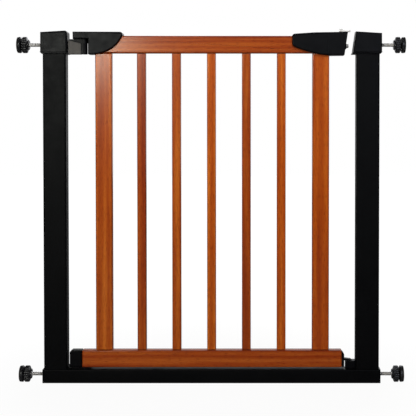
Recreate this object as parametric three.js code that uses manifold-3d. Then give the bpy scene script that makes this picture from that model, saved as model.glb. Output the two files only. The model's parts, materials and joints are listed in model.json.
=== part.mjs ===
// A pressure-fit stair and doorway gate: a steel U-frame held between two walls by four screw
// spindles, with a wooden panel that lifts out of a floor catch and swings both ways.
// Millimetres. X runs along the doorway, Y through it and Z up from the floor.
// The origin is on the floor, at the middle of the frame.
import * as THREE from "three";
import { mergeVertices } from "three/addons/utils/BufferGeometryUtils.js";
import Module from "manifold-3d";

const wasm = await Module();
wasm.setup();

// Driving dimensions
const GAP = 0.3; // between neighbouring pieces
const SPAN = 722; // outside width over the two posts
const POST = { width: 50, depth: 30, wall: 1.5, corner: 4, top: 752 };
const RAIL = { height: 30, depth: 30, wall: 1.5, corner: 3 };
const CAP = { outer: 366, bottom: 709, depth: 36, chamfer: 2.5 };
const END_CAP = { thick: 3, plug: 14, corner: 1.2 };
const SOCKET_ROOM = 0.4; // around a rod where it slides in the frame
const HINGE_X = -273; // the swing axis, at the top and the bottom
const TOP_PIN = { r: 3.5, bottom: 711, top: 751, headR: 6, headBottom: 747 };
const LOW_PIN = { r: 3, top: 58 };
const BRACKET = { left: -307.2, right: -279.8, bottom: 709, high: 738.6, low: 731.4, half: 8, sheet: 2 };
const BEARING = { r: 6.5, collarR: 8.5, collarBottom: 733, top: 741 };
const WOOD = { thick: 20, stile: 18, slat: 16, corner: 2 };
const TOP_RAIL = { left: -249.4, right: 253.3, bottom: 711, top: 748 };
const LOW_RAIL = { left: -279.6, right: 281.4, bottom: 33.5, top: 70.5 };
const STILES = { left: [-249.4, -213.6], right: [217.2, 253.3] };
const SLAT = { count: 5, pitch: 75.2, width: 19, tenon: 14, tenonWidth: 13, tenonThick: 10 };
const COVER_HALF = 17; // half the depth of the plastic covers and the handle
const COVER_CHAMFER = 3;
const SEAM_X = 250.5; // where the handle grip meets the latch housing
const BOLT = { r: 4.5, z: 726.8, tail: 264, tip: 295.2 };
const SLIDE = { left: 275, right: 300, bottom: 757.2, thick: 2, half: 5 };
const SLIDE_ENDS = { lip: 3, lipTop: 763, bead: 2.2, beadRise: 1.4 };
const CARRIAGE = { left: 276, right: 280, travel: 9, plateHalf: 7, stemHalf: 2.8, shoulder: 750.5 };
const SPRING = { r: 6.2, wire: 0.5, turns: 7, left: 254.2, right: 275.4 };
const SPINDLES = [
  { name: "upper_left", side: -1, z: 729, frame: CAP.outer },
  { name: "upper_right", side: 1, z: 729, frame: CAP.outer },
  { name: "lower_left", side: -1, z: 17.6, frame: 364.3 },
  { name: "lower_right", side: 1, z: 17.6, frame: 364.3 },
];
// Distances outward from the frame's outer face to each piece of a spindle
const ROD = { r: 4, inner: -20, outer: 46.5 };
const WHEEL = { r: 17.4, from: 28.4, rim: 32.4, to: 40, coneR: 12.4, boreR: 8.3 };
const NUT = { r: 8, bossR: 10.5, boss: 2.2 };
const PAD = { r: 17.4, hubR: 6, hub: 40.3, from: 42.2, to: 48, face: 50.8 };
const SCREW = { headR: 3.4, headDeep: 1.8, shankR: 1.6, length: 22 };

// Materials
const painted = (color, roughness) => new THREE.MeshStandardMaterial({ color, roughness, metalness: 0.3 });
const blackSteel = () => painted(0x151517, 0.5);
const greyZinc = () => painted(0x55565c, 0.45);
const blackPlastic = () => new THREE.MeshStandardMaterial({ color: 0x17171a, roughness: 0.55 });
const rubber = () => new THREE.MeshStandardMaterial({ color: 0x1c1c1e, roughness: 0.9 });
const bareSteel = () => new THREE.MeshStandardMaterial({ color: 0xa8a49c, roughness: 0.35, metalness: 1 });
const cherry = () => new THREE.MeshStandardMaterial({ color: 0x8a3f1a, roughness: 0.5 });

// Booleans
function solid(geometry) {
  const bare = geometry.index ? geometry.toNonIndexed() : geometry.clone();
  bare.deleteAttribute("normal");
  bare.deleteAttribute("uv");
  const merged = mergeVertices(bare, 1e-4);
  const vertProperties = merged.attributes.position.array;
  const triVerts = new Uint32Array(merged.index.array);
  return new wasm.Manifold(new wasm.Mesh({ numProp: 3, vertProperties, triVerts }));
}

function geometryOf(shape) {
  const { vertProperties, triVerts } = shape.getMesh();
  const geometry = new THREE.BufferGeometry();
  geometry.setAttribute("position", new THREE.BufferAttribute(new Float32Array(vertProperties), 3));
  geometry.setIndex(new THREE.BufferAttribute(new Uint32Array(triVerts), 1));
  geometry.computeVertexNormals();
  return geometry;
}

// Basic solids
function block(x0, x1, y0, y1, z0, z1) {
  const box = new THREE.BoxGeometry(x1 - x0, y1 - y0, z1 - z0);
  return solid(box.translate((x0 + x1) / 2, (y0 + y1) / 2, (z0 + z1) / 2));
}

// A round bar along Z.
function pillar(x, y, z0, z1, r, sides = 16) {
  const round = new THREE.CylinderGeometry(r, r, z1 - z0, sides);
  return solid(round.rotateX(Math.PI / 2).translate(x, y, (z0 + z1) / 2));
}

// A round bar along X.
function bar(x0, x1, y, z, r, sides = 16) {
  const [low, high] = [Math.min(x0, x1), Math.max(x0, x1)];
  const round = new THREE.CylinderGeometry(r, r, high - low, sides);
  return solid(round.rotateZ(Math.PI / 2).translate((low + high) / 2, y, z));
}

// A cone along X, with radius r0 at x0 and r1 at x1.
function coneAlongX(x0, x1, z, r0, r1, sides) {
  const turn = x1 > x0 ? -1 : 1;
  const round = new THREE.CylinderGeometry(r1, r0, Math.abs(x1 - x0), sides);
  return solid(round.rotateZ((turn * Math.PI) / 2).translate((x0 + x1) / 2, 0, z));
}

// A round bar along Y.
function peg(x, y0, y1, z, r, sides = 12) {
  const round = new THREE.CylinderGeometry(r, r, y1 - y0, sides);
  return solid(round.translate(x, (y0 + y1) / 2, z));
}

// An outline in X and Z, spread along Y from -half to half, with its edges chamfered.
function slab(outline, half, chamfer = 0) {
  const extruded = new THREE.ExtrudeGeometry(outline, {
    depth: 2 * (half - chamfer),
    bevelEnabled: chamfer > 0,
    bevelThickness: chamfer,
    bevelSize: chamfer,
    bevelOffset: -chamfer,
    bevelSegments: 1,
    curveSegments: 5,
  });
  return solid(extruded.rotateX(Math.PI / 2).translate(0, half - chamfer, 0));
}

function polygon(points) {
  return new THREE.Shape(points.map(([x, z]) => new THREE.Vector2(x, z)));
}

// A rectangle with round corners, centred on the origin.
function roundRectangle(width, height, r) {
  const [a, b] = [width / 2, height / 2];
  const shape = new THREE.Shape();
  shape.moveTo(-a + r, -b);
  shape.lineTo(a - r, -b).absarc(a - r, -b + r, r, -Math.PI / 2, 0);
  shape.lineTo(a, b - r).absarc(a - r, b - r, r, 0, Math.PI / 2);
  shape.lineTo(-a + r, b).absarc(-a + r, b - r, r, Math.PI / 2, Math.PI);
  shape.lineTo(-a, -b + r).absarc(-a + r, -b + r, r, Math.PI, Math.PI * 1.5);
  return shape;
}

function extruded(shape, depth) {
  return new THREE.ExtrudeGeometry(shape, { depth, bevelEnabled: false, curveSegments: 3 });
}

// The group that holds the whole gate
const gate = new THREE.Group();

function add(name, shape, material) {
  const mesh = new THREE.Mesh(geometryOf(shape), material);
  mesh.name = name;
  gate.add(mesh);
}

// Steel frame
const POST_X = (SPAN - POST.width) / 2;

function framePost(side) {
  const outline = roundRectangle(POST.width, POST.depth, POST.corner);
  const { wall } = POST;
  const inner = roundRectangle(POST.width - 2 * wall, POST.depth - 2 * wall, POST.corner - wall);
  outline.holes.push(inner);
  const low = RAIL.height + GAP;
  const tube = solid(extruded(outline, POST.top - low).translate(side * POST_X, 0, low));
  const outerFace = SPAN / 2;
  return tube.subtract(bar(side * (outerFace - 10), side * (outerFace + 5), 0, SPINDLES[0].z, ROD.r + 1));
}

function bottomRail() {
  const outline = roundRectangle(RAIL.depth, RAIL.height, RAIL.corner);
  const inset = 2 * RAIL.wall;
  outline.holes.push(roundRectangle(RAIL.depth - inset, RAIL.height - inset, RAIL.corner - RAIL.wall));
  const tube = extruded(outline, SPAN).translate(0, 0, -SPAN / 2);
  return solid(tube.rotateX(Math.PI / 2).rotateZ(Math.PI / 2).translate(0, 0, RAIL.height / 2));
}

function railEndCap(side) {
  const face = SPAN / 2 + GAP;
  const flange = extruded(roundRectangle(RAIL.depth, RAIL.height, RAIL.corner), END_CAP.thick);
  const inset = 2 * (RAIL.wall + GAP);
  const plugShape = roundRectangle(RAIL.depth - inset, RAIL.height - inset, END_CAP.corner);
  const plug = extruded(plugShape, END_CAP.plug).translate(0, 0, -END_CAP.plug + 1);
  const upright = solid(flange).add(solid(plug)).rotate([90, 0, side * 90]);
  const placed = upright.translate([side * face, 0, RAIL.height / 2]);
  return placed.subtract(bar(side * 330, side * 370, 0, SPINDLES[2].z, ROD.r + SOCKET_ROOM));
}

// The left cap's top falls outwards; the right cap's inner side also leans, to receive the latch.
const { outer, bottom } = CAP;
const LEFT_CAP = [[-outer, 713], [-361.8, bottom], [-307.5, bottom], [-307.5, 759.5], [-outer, 756]];
const RIGHT_CAP = [[302.1, bottom], [361.8, bottom], [outer, 713], [outer, 754], [310.2, 757.4]];

function postCap(outline, side) {
  const shell = slab(polygon(outline), CAP.depth / 2, CAP.chamfer);
  const room = extruded(
    roundRectangle(POST.width + 2 * GAP, POST.depth + 2 * GAP, POST.corner),
    POST.top + GAP - CAP.bottom + 2,
  ).translate(side * POST_X, 0, CAP.bottom - 2);
  const socket = bar(side * (outer - 12), side * (outer + 4), 0, SPINDLES[0].z, ROD.r + SOCKET_ROOM);
  return shell.subtract(solid(room)).subtract(socket);
}

// The receiver pocket is a cup that reaches into the post, with a steel strike plate on its floor.
const POCKET = { half: 7, low: 717, high: 737, cupLeft: 308.2, floor: 316.3, wall: 2, plate: 1.2 };

function latchReceiver() {
  const { half, low, high, cupLeft, floor, wall } = POCKET;
  const cup = block(cupLeft, floor + wall, -half - wall, half + wall, low - wall, high + wall);
  return postCap(RIGHT_CAP, 1).add(cup).subtract(block(295, floor, -half, half, low, high));
}

// The slot in the post is open at the top, so the cap with its cup slides down over it.
function latchPost() {
  const half = POCKET.half + POCKET.wall + GAP;
  const slot = block(305, 320, -half, half, POCKET.low - POCKET.wall - GAP, POST.top + 1);
  return framePost(1).subtract(slot);
}

function strikePlate() {
  const { half, low, high, floor, plate } = POCKET;
  return block(floor - plate, floor - GAP, -half + GAP, half - GAP, low + GAP, high - GAP);
}

// Top hinge: a sheet-steel channel on the post holds a plastic bearing for the pin.
function topHingeBracket() {
  const { left, right, bottom, high, low, half, sheet } = BRACKET;
  const side = [[left, bottom], [right, bottom], [right, low], [left, high]];
  const inner = block(left + sheet, right + 5, -half + sheet, half - sheet, bottom - 5, high + 5);
  return slab(polygon(side), half).subtract(inner);
}

function hingeBearing() {
  const { left, right, bottom, high, low, half, sheet } = BRACKET;
  const { r, collarR, collarBottom, top } = BEARING;
  const tongueHalf = half - sheet - GAP;
  const start = left + sheet + GAP;
  const tongue = block(start, HINGE_X, -tongueHalf, tongueHalf, bottom + 1, top);
  const slope = [[start, high + GAP], [right, low + GAP], [HINGE_X, low]];
  const wedge = slab(polygon([...slope, [HINGE_X, top], [start, top]]), half);
  const sleeve = pillar(HINGE_X, 0, bottom, top, r, 20);
  const collar = pillar(HINGE_X, 0, collarBottom, top, collarR, 20);
  const bore = pillar(HINGE_X, 0, bottom - 1, top + 1, TOP_PIN.r + GAP);
  return tongue.add(wedge).add(sleeve).add(collar).subtract(bore);
}

function hingePin() {
  const { r, bottom, top, headR, headBottom } = TOP_PIN;
  return pillar(HINGE_X, 0, bottom, top, r).add(pillar(HINGE_X, 0, headBottom, top, headR));
}

// Bottom hinge: a plate on the rail carries an upright pin.
const LOW_PLATE = { right: -260, half: 11, thick: 2.2, upstand: 36, fillet: 0.6, spigotR: 2 };

function bottomHingeBracket() {
  const wall = -SPAN / 2 + POST.width + GAP;
  const z = RAIL.height + GAP;
  const { right, half, thick, upstand, fillet, spigotR } = LOW_PLATE;
  const foot = block(wall, right, -half, half, z, z + thick);
  const back = block(wall, wall + thick, -half, half, z, upstand);
  const corner = block(wall, wall + thick + fillet, -half, half, z, z + thick + fillet);
  const pinHole = pillar(HINGE_X, 0, z - 1, z + thick + 1, spigotR + GAP);
  return foot.add(back).add(corner).subtract(pinHole);
}

function bottomPivotPin() {
  const z = RAIL.height + GAP;
  const spigot = pillar(HINGE_X, 0, z, z + LOW_PLATE.thick + 1, LOW_PLATE.spigotR);
  return spigot.add(pillar(HINGE_X, 0, z + LOW_PLATE.thick + GAP, LOW_PIN.top, LOW_PIN.r));
}

// Floor catch on the latch side
const STOP = { left: 289.4, half: 9, top: 46.8, lip: 1.2, lipLeft: 303.5, chamfer: 0.8 };

function bottomStop() {
  const wall = SPAN / 2 - POST.width - GAP;
  const z = RAIL.height + GAP;
  const { left, half, top, lip, lipLeft, chamfer } = STOP;
  const step = [[wall, top + lip], [lipLeft, top + lip], [lipLeft - 1, top]];
  return slab(polygon([[left, z], [wall, z], ...step, [left, top]]), half, chamfer);
}

// Wooden panel
function timber(x0, x1, z0, z1, thick) {
  const outline = polygon([[x0, z0], [x1, z0], [x1, z1], [x0, z1]]);
  return slab(outline, thick / 2, WOOD.corner);
}

function slatX(index) {
  return (index - (SLAT.count - 1) / 2) * SLAT.pitch;
}

// Where tenons enter the rails: the slats and the two stiles.
function tenonPlaces() {
  const slats = Array.from({ length: SLAT.count }, (_, i) => slatX(i));
  const stiles = Object.values(STILES).map(([a, b]) => (a + b) / 2);
  return [...slats, ...stiles];
}

function tenonBlock(x, z0, z1, clearance) {
  const a = SLAT.tenonWidth / 2 + clearance;
  const b = SLAT.tenonThick / 2 + clearance;
  return block(x - a, x + a, -b, b, z0, z1);
}

function woodRail({ left, right, bottom, top }, mortiseFrom, mortiseTo) {
  return tenonPlaces().reduce(
    (rail, x) => rail.subtract(tenonBlock(x, mortiseFrom, mortiseTo, GAP)),
    timber(left, right, bottom, top, WOOD.thick),
  );
}

function topWoodRail() {
  const rail = woodRail(TOP_RAIL, TOP_RAIL.bottom - 1, TOP_RAIL.bottom + SLAT.tenon + GAP);
  return withScrewRooms(rail, Object.keys(REAR_SCREWS));
}

const SHOE = { left: -306.5, right: -280, half: 10, chamfer: 1.5, boreTop: 60 };
const SHOE_TONGUE = { right: -264, half: 6, top: 62 };

function bottomWoodRail() {
  const rail = woodRail(LOW_RAIL, LOW_RAIL.top - SLAT.tenon - GAP, LOW_RAIL.top + 1);
  const { right, half, top } = SHOE_TONGUE;
  const slot = half + GAP;
  return rail.subtract(block(SHOE.left, right + GAP, -slot, slot, LOW_RAIL.bottom - 1, top + GAP));
}

// An upright: a timber between the rails with a tenon at each end.
function upright(x0, x1, thick) {
  const middle = (x0 + x1) / 2;
  const body = timber(x0, x1, LOW_RAIL.top + GAP, TOP_RAIL.bottom - GAP, thick);
  return body.add(tenonBlock(middle, LOW_RAIL.top - SLAT.tenon, TOP_RAIL.bottom + SLAT.tenon, 0));
}

// Cover over the hinge corner of the panel: an arm that holds the pin, and a swept lower edge.
function hingeCoverOutline() {
  const shape = new THREE.Shape();
  shape.moveTo(-296, BEARING.top + GAP);
  shape.lineTo(-263.4, BEARING.top + GAP);
  shape.lineTo(-263.4, 708.6);
  shape.lineTo(-255, 708.6);
  shape.bezierCurveTo(-229, 708.6, -204, 720, -190.3, 748);
  shape.quadraticCurveTo(-188.6, 756, -196, 756.4);
  shape.lineTo(-296, 756.4);
  return shape;
}

function panelRoom() {
  const half = WOOD.thick / 2 + GAP;
  const { left, right, bottom, top } = TOP_RAIL;
  const rail = block(left - GAP, right + GAP, -half, half, bottom - GAP, top + GAP);
  const low = bottom - 20;
  const high = bottom + 1;
  const uprights = Object.values(STILES).map(([a, b]) => block(a - GAP, b + GAP, -half, half, low, high));
  return uprights.reduce((room, piece) => room.add(piece), rail);
}

function frontHalf(shape) {
  return shape.intersect(block(-400, 400, -30, -GAP / 2, 600, 800));
}

function rearHalf(shape) {
  return shape.intersect(block(-400, 400, GAP / 2, 30, 600, 800));
}

function hingeCover() {
  const pinRoom = pillar(HINGE_X, 0, 740, TOP_PIN.headBottom, TOP_PIN.r + GAP);
  const headRoom = pillar(HINGE_X, 0, TOP_PIN.headBottom - GAP, TOP_PIN.top + GAP, TOP_PIN.headR + GAP);
  const shell = slab(hingeCoverOutline(), COVER_HALF, COVER_CHAMFER);
  return shell.subtract(panelRoom()).subtract(pinRoom).subtract(headRoom);
}

// Handle over the latch corner of the panel
function handleOutline() {
  const shape = new THREE.Shape();
  shape.moveTo(285.3, 706.7);
  shape.lineTo(292.8, 756.4);
  shape.lineTo(222, 755.4);
  shape.lineTo(180, 752.6);
  shape.quadraticCurveTo(173.3, 752, 173.3, 746);
  shape.lineTo(173.3, 731);
  shape.quadraticCurveTo(173.3, 726.5, 178, 724.6);
  shape.quadraticCurveTo(214, 709, 250, 706.2);
  return shape;
}

function handleSolid() {
  return slab(handleOutline(), COVER_HALF, COVER_CHAMFER).subtract(panelRoom());
}

function handleGrip() {
  return handleSolid().intersect(block(150, SEAM_X - GAP / 2, -30, 30, 600, 800));
}

function latchHousing() {
  const outside = handleSolid().intersect(block(SEAM_X + GAP / 2, 320, -30, 30, 600, 800));
  const hollow = block(SEAM_X - 1, CARRIAGE.right + 2, -12, 12, 711, 752);
  const boltHole = bar(CARRIAGE.left, BOLT.tip, 0, BOLT.z, BOLT.r + GAP);
  const { left, right, travel, stemHalf, shoulder } = CARRIAGE;
  const play = 0.6;
  const slotHalf = stemHalf + play;
  const slot = block(left - travel - play, right + play, -slotHalf, slotHalf, shoulder - 1, 760);
  return outside.subtract(hollow).subtract(boltHole).subtract(slot);
}

// Latch: thumb slide, carriage and bolt move as one against the spring.
function releaseSlide() {
  const { left, right, bottom: under, thick, half } = SLIDE;
  const { lip, lipTop, bead, beadRise } = SLIDE_ENDS;
  const strip = block(left, right - bead, -half, half, under, under + thick);
  const curl = block(left, left + lip, -half, half, under, lipTop);
  const end = peg(right - bead, -half, half, under + beadRise, bead);
  const below = block(left, right + 1, -half - 1, half + 1, under - thick, under - 0.01);
  return strip.add(curl).add(end).subtract(below);
}

function latchCarriage() {
  const { left, right, plateHalf, stemHalf, shoulder } = CARRIAGE;
  const plate = block(left, right, -plateHalf, plateHalf, BOLT.z - 9, shoulder);
  const stem = block(left, right, -stemHalf, stemHalf, shoulder - 1, SLIDE.bottom - GAP);
  return plate.add(stem).subtract(bar(left - 1, right + 1, 0, BOLT.z, BOLT.r - 1 + GAP));
}

function latchBolt() {
  const head = bar(CARRIAGE.right + GAP, BOLT.tip - 0.8, 0, BOLT.z, BOLT.r);
  const nose = bar(BOLT.tip - 2, BOLT.tip, 0, BOLT.z, BOLT.r - 0.8);
  const shank = bar(BOLT.tail, CARRIAGE.right + 1, 0, BOLT.z, BOLT.r - 1);
  return head.add(nose).add(shank);
}

class Coil extends THREE.Curve {
  getPoint(t) {
    const turn = t * SPRING.turns * Math.PI * 2;
    const x = SPRING.left + SPRING.wire + t * (SPRING.right - SPRING.left - 2 * SPRING.wire);
    return new THREE.Vector3(x, SPRING.r * Math.cos(turn), BOLT.z + SPRING.r * Math.sin(turn));
  }
}

function releaseSpring() {
  const wire = new THREE.Shape();
  wire.absarc(0, 0, SPRING.wire, 0, Math.PI * 2);
  const options = { steps: SPRING.turns * 10, extrudePath: new Coil(), curveSegments: 2 };
  return solid(new THREE.ExtrudeGeometry(wire, options));
}

// Shoes on the ends of the bottom wooden rail
function bottomHingeShoe() {
  const { left, right, half, chamfer, boreTop } = SHOE;
  const { bottom: low, top } = LOW_RAIL;
  const outline = polygon([[left, low], [right, low], [right, top], [left + 5, top], [left, top - 4]]);
  const inWood = SHOE_TONGUE;
  const tongue = block(right - 2, inWood.right, -inWood.half, inWood.half, low, inWood.top);
  const bore = pillar(HINGE_X, 0, low - 1, boreTop, LOW_PIN.r + GAP);
  return slab(outline, half, chamfer).add(tongue).subtract(bore);
}

const FOOT = { thick: 5, bottom: 34, shoulder: 61, top: 66.5, half: 9, chamfer: 0.5, screwZ: 41 };
const FINGER = { tip: 302.4, under: 47.5, over: 52.2, root: 55, half: 5 };

function bottomLatchFoot() {
  const x = LOW_RAIL.right + GAP;
  const { thick, bottom: low, shoulder, top, half, chamfer } = FOOT;
  const face = x + thick;
  const plate = polygon([[x, low], [face, low], [face, shoulder], [x + 1.5, top], [x, top]]);
  const { tip, under, over, root } = FINGER;
  const end = [[tip, under], [tip, under + 1.7], [tip - 1.4, over - 1.6], [face, over]];
  const finger = polygon([[x + 2, under], ...end, [x + 2, root]]);
  const screwRoom = bar(x - 1, face + 3, 0, FOOT.screwZ, SCREW.shankR + GAP);
  return slab(plate, half, chamfer).add(slab(finger, FINGER.half)).subtract(screwRoom);
}

// Screw spindles
function spindle({ name, side, z, frame }) {
  const at = (distance) => side * (frame + distance);
  const rod = bar(at(ROD.inner), at(ROD.outer), 0, z, ROD.r);
  add(`${name}_rod`, rod, bareSteel());
  const rim = bar(at(WHEEL.rim), at(WHEEL.to), 0, z, WHEEL.r, 32);
  const wheel = rim.add(coneAlongX(at(WHEEL.from), at(WHEEL.rim), z, WHEEL.coneR, WHEEL.r, 32));
  const wheelBore = bar(at(WHEEL.from - 1), at(WHEEL.to + 1), 0, z, WHEEL.boreR, 24);
  add(`${name}_hand_wheel`, wheel.subtract(wheelBore), blackPlastic());
  const nutBody = bar(at(WHEEL.from - GAP), at(WHEEL.to), 0, z, NUT.r, 24);
  const boss = bar(at(WHEEL.from - GAP - NUT.boss), at(WHEEL.from - GAP), 0, z, NUT.bossR, 24);
  const nutBore = bar(at(WHEEL.from - 4), at(WHEEL.to + 1), 0, z, ROD.r + GAP);
  add(`${name}_wheel_nut`, nutBody.add(boss).subtract(nutBore), blackPlastic());
  const disc = bar(at(PAD.from), at(PAD.to), 0, z, PAD.r, 32);
  const hub = bar(at(PAD.hub), at(PAD.from), 0, z, PAD.hubR, 16);
  const discBore = bar(at(PAD.hub - 1), at(ROD.outer + GAP), 0, z, ROD.r + GAP);
  add(`${name}_pad_disc`, disc.add(hub).subtract(discBore), blackPlastic());
  add(`${name}_rubber_pad`, bar(at(PAD.to + GAP), at(PAD.face), 0, z, PAD.r - 0.4, 32), rubber());
}

// Countersunk-look screws with their heads in the rear face of the covers
function rearScrew(x, z) {
  const head = peg(x, COVER_HALF - SCREW.headDeep, COVER_HALF - GAP, z, SCREW.headR);
  return head.add(peg(x, COVER_HALF - SCREW.length, COVER_HALF - 1, z, SCREW.shankR, 8));
}

function rearScrewRoom(x, z) {
  const head = peg(x, COVER_HALF - SCREW.headDeep - GAP, COVER_HALF + 1, z, SCREW.headR + GAP);
  return head.add(peg(x, COVER_HALF - SCREW.length - 1, COVER_HALF, z, SCREW.shankR + GAP, 8));
}

const REAR_SCREWS = {
  hinge_cover_screw_left: [-256.6, 728],
  hinge_cover_screw_right: [-207, 740],
  handle_screw_left: [183, 737],
  handle_screw_right: [236, 730],
};

function withScrewRooms(shape, names) {
  return names.reduce((left, name) => left.subtract(rearScrewRoom(...REAR_SCREWS[name])), shape);
}

add("left_post", framePost(-1), blackSteel());
add("right_post", latchPost(), blackSteel());
add("bottom_rail", bottomRail(), blackSteel());
add("left_post_cap", postCap(LEFT_CAP, -1), blackPlastic());
add("right_post_cap", latchReceiver(), blackPlastic());
add("left_rail_end_cap", railEndCap(-1), blackPlastic());
add("right_rail_end_cap", railEndCap(1), blackPlastic());
add("strike_plate", strikePlate(), bareSteel());
add("top_hinge_bracket", topHingeBracket(), greyZinc());
add("hinge_bearing", hingeBearing(), blackPlastic());
add("hinge_pin", hingePin(), bareSteel());
add("bottom_hinge_bracket", bottomHingeBracket(), blackSteel());
add("bottom_pivot_pin", bottomPivotPin(), bareSteel());
add("bottom_stop", bottomStop(), blackPlastic());
add("top_wood_rail", topWoodRail(), cherry());
add("bottom_wood_rail", bottomWoodRail(), cherry());
add("left_stile", upright(...STILES.left, WOOD.stile), cherry());
add("right_stile", upright(...STILES.right, WOOD.stile), cherry());
for (let i = 0; i < SLAT.count; i += 1) {
  const half = SLAT.width / 2;
  add(`slat_${i + 1}`, upright(slatX(i) - half, slatX(i) + half, WOOD.slat), cherry());
}
const coverShell = withScrewRooms(hingeCover(), ["hinge_cover_screw_left", "hinge_cover_screw_right"]);
const gripShell = withScrewRooms(handleGrip(), ["handle_screw_left", "handle_screw_right"]);
add("hinge_cover_front", frontHalf(coverShell), blackPlastic());
add("hinge_cover_rear", rearHalf(coverShell), blackPlastic());
add("handle_grip_front", frontHalf(gripShell), blackPlastic());
add("handle_grip_rear", rearHalf(gripShell), blackPlastic());
add("latch_housing", latchHousing(), blackPlastic());
add("release_slide", releaseSlide(), bareSteel());
add("latch_carriage", latchCarriage(), blackPlastic());
add("latch_bolt", latchBolt(), bareSteel());
add("release_spring", releaseSpring(), bareSteel());
add("bottom_hinge_shoe", bottomHingeShoe(), blackPlastic());
add("bottom_latch_foot", bottomLatchFoot(), blackPlastic());
for (const [name, place] of Object.entries(REAR_SCREWS)) add(name, rearScrew(...place), bareSteel());
SPINDLES.forEach(spindle);

export default gate;
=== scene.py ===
"""Visual model of the pressure-fit doorway gate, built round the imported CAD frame.

Outlines and profiles are in millimetres in the gate's own frame (X along the doorway, Y through it,
Z up); every mesh is scaled to metres as it is made.
"""

import json
import math
import bmesh
import bpy
from mathutils import Matrix, Vector


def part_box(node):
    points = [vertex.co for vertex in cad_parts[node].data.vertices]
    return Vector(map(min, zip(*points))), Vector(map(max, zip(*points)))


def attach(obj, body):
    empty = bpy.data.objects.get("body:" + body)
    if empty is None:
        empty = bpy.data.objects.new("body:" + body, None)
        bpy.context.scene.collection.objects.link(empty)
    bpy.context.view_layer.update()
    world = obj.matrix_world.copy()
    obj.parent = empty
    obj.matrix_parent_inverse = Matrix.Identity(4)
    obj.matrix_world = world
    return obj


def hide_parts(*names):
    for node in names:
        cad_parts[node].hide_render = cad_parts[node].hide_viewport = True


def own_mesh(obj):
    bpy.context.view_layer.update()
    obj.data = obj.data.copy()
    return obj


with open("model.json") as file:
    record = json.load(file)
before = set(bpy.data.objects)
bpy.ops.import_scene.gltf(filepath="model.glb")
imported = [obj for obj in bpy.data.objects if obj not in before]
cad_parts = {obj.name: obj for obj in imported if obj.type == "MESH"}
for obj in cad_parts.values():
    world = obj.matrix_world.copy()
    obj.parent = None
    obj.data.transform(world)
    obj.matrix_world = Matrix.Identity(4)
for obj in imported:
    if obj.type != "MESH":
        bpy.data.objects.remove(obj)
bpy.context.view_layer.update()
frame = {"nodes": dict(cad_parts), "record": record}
MM = 0.001

# ---------------------------------------------------------------- node helpers


def add_node(tree, kind, values=None, **settings):
    """A new node with its settings, and its inputs set to values or linked to sockets."""
    node = tree.nodes.new(kind)
    for key, value in settings.items():
        setattr(node, key, value)
    for key, value in (values or {}).items():
        if isinstance(value, bpy.types.NodeSocket):
            tree.links.new(value, node.inputs[key])
        else:
            node.inputs[key].default_value = value
    return node


def new_material(name):
    """A material with only a Principled shader and its output."""
    material = bpy.data.materials.new(name)
    material.use_nodes = True
    tree = material.node_tree
    tree.nodes.clear()
    shader = tree.nodes.new("ShaderNodeBsdfPrincipled")
    output = tree.nodes.new("ShaderNodeOutputMaterial")
    tree.links.new(shader.outputs[0], output.inputs["Surface"])
    return material, tree, shader


def object_coords(tree, scale=(1, 1, 1), offset=(0, 0, 0), turn=(0, 0, 0)):
    coords = add_node(tree, "ShaderNodeTexCoord")
    values = {
        "Vector": coords.outputs["Object"],
        "Scale": scale,
        "Location": offset,
        "Rotation": turn,
    }
    return add_node(tree, "ShaderNodeMapping", values).outputs["Vector"]


def noise(tree, vector, scale, detail=3.0, roughness=0.55, distortion=0.0):
    values = {
        "Vector": vector,
        "Scale": scale,
        "Detail": detail,
        "Roughness": roughness,
        "Distortion": distortion,
    }
    return add_node(tree, "ShaderNodeTexNoise", values).outputs[0]


def ramp(tree, factor, stops):
    node = add_node(tree, "ShaderNodeValToRGB", {"Fac": factor})
    elements = node.color_ramp.elements
    while len(elements) < len(stops):
        elements.new(0.5)
    for element, (position, colour) in zip(elements, stops):
        element.position = position
        element.color = (*colour, 1)
    return node.outputs["Color"]


def math_node(tree, operation, a, b):
    return add_node(tree, "ShaderNodeMath", {0: a, 1: b}, operation=operation).outputs[0]


def map_range(tree, value, low, high, to_low, to_high):
    values = {"Value": value, "From Min": low, "From Max": high, "To Min": to_low, "To Max": to_high}
    return add_node(tree, "ShaderNodeMapRange", values).outputs["Result"]


def mix_colour(tree, factor, a, b):
    node = add_node(tree, "ShaderNodeMix", data_type="RGBA")
    for key, value in (("Factor", factor), ("A", a), ("B", b)):
        socket = next(s for s in node.inputs if s.name == key and s.enabled)
        if isinstance(value, bpy.types.NodeSocket):
            tree.links.new(value, socket)
        else:
            socket.default_value = value
    return next(s for s in node.outputs if s.enabled)


def stretched(tree, vector, share):
    """The coordinates with X slowed to a share of its rate."""
    values = {"Vector": vector, "Scale": (share, 1, 1)}
    return add_node(tree, "ShaderNodeMapping", values).outputs["Vector"]


def link_roughness(tree, shader, field, rough):
    """Roughness that follows a noise field between two values."""
    tree.links.new(map_range(tree, field, 0.3, 0.7, *rough), shader.inputs["Roughness"])


def set_bump(tree, shader, height, distance, strength):
    """Relief in the material; distance is in metres."""
    values = {"Height": height, "Distance": distance, "Strength": strength}
    bump = add_node(tree, "ShaderNodeBump", values)
    tree.links.new(bump.outputs["Normal"], shader.inputs["Normal"])


# ------------------------------------------------------------------- materials


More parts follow.
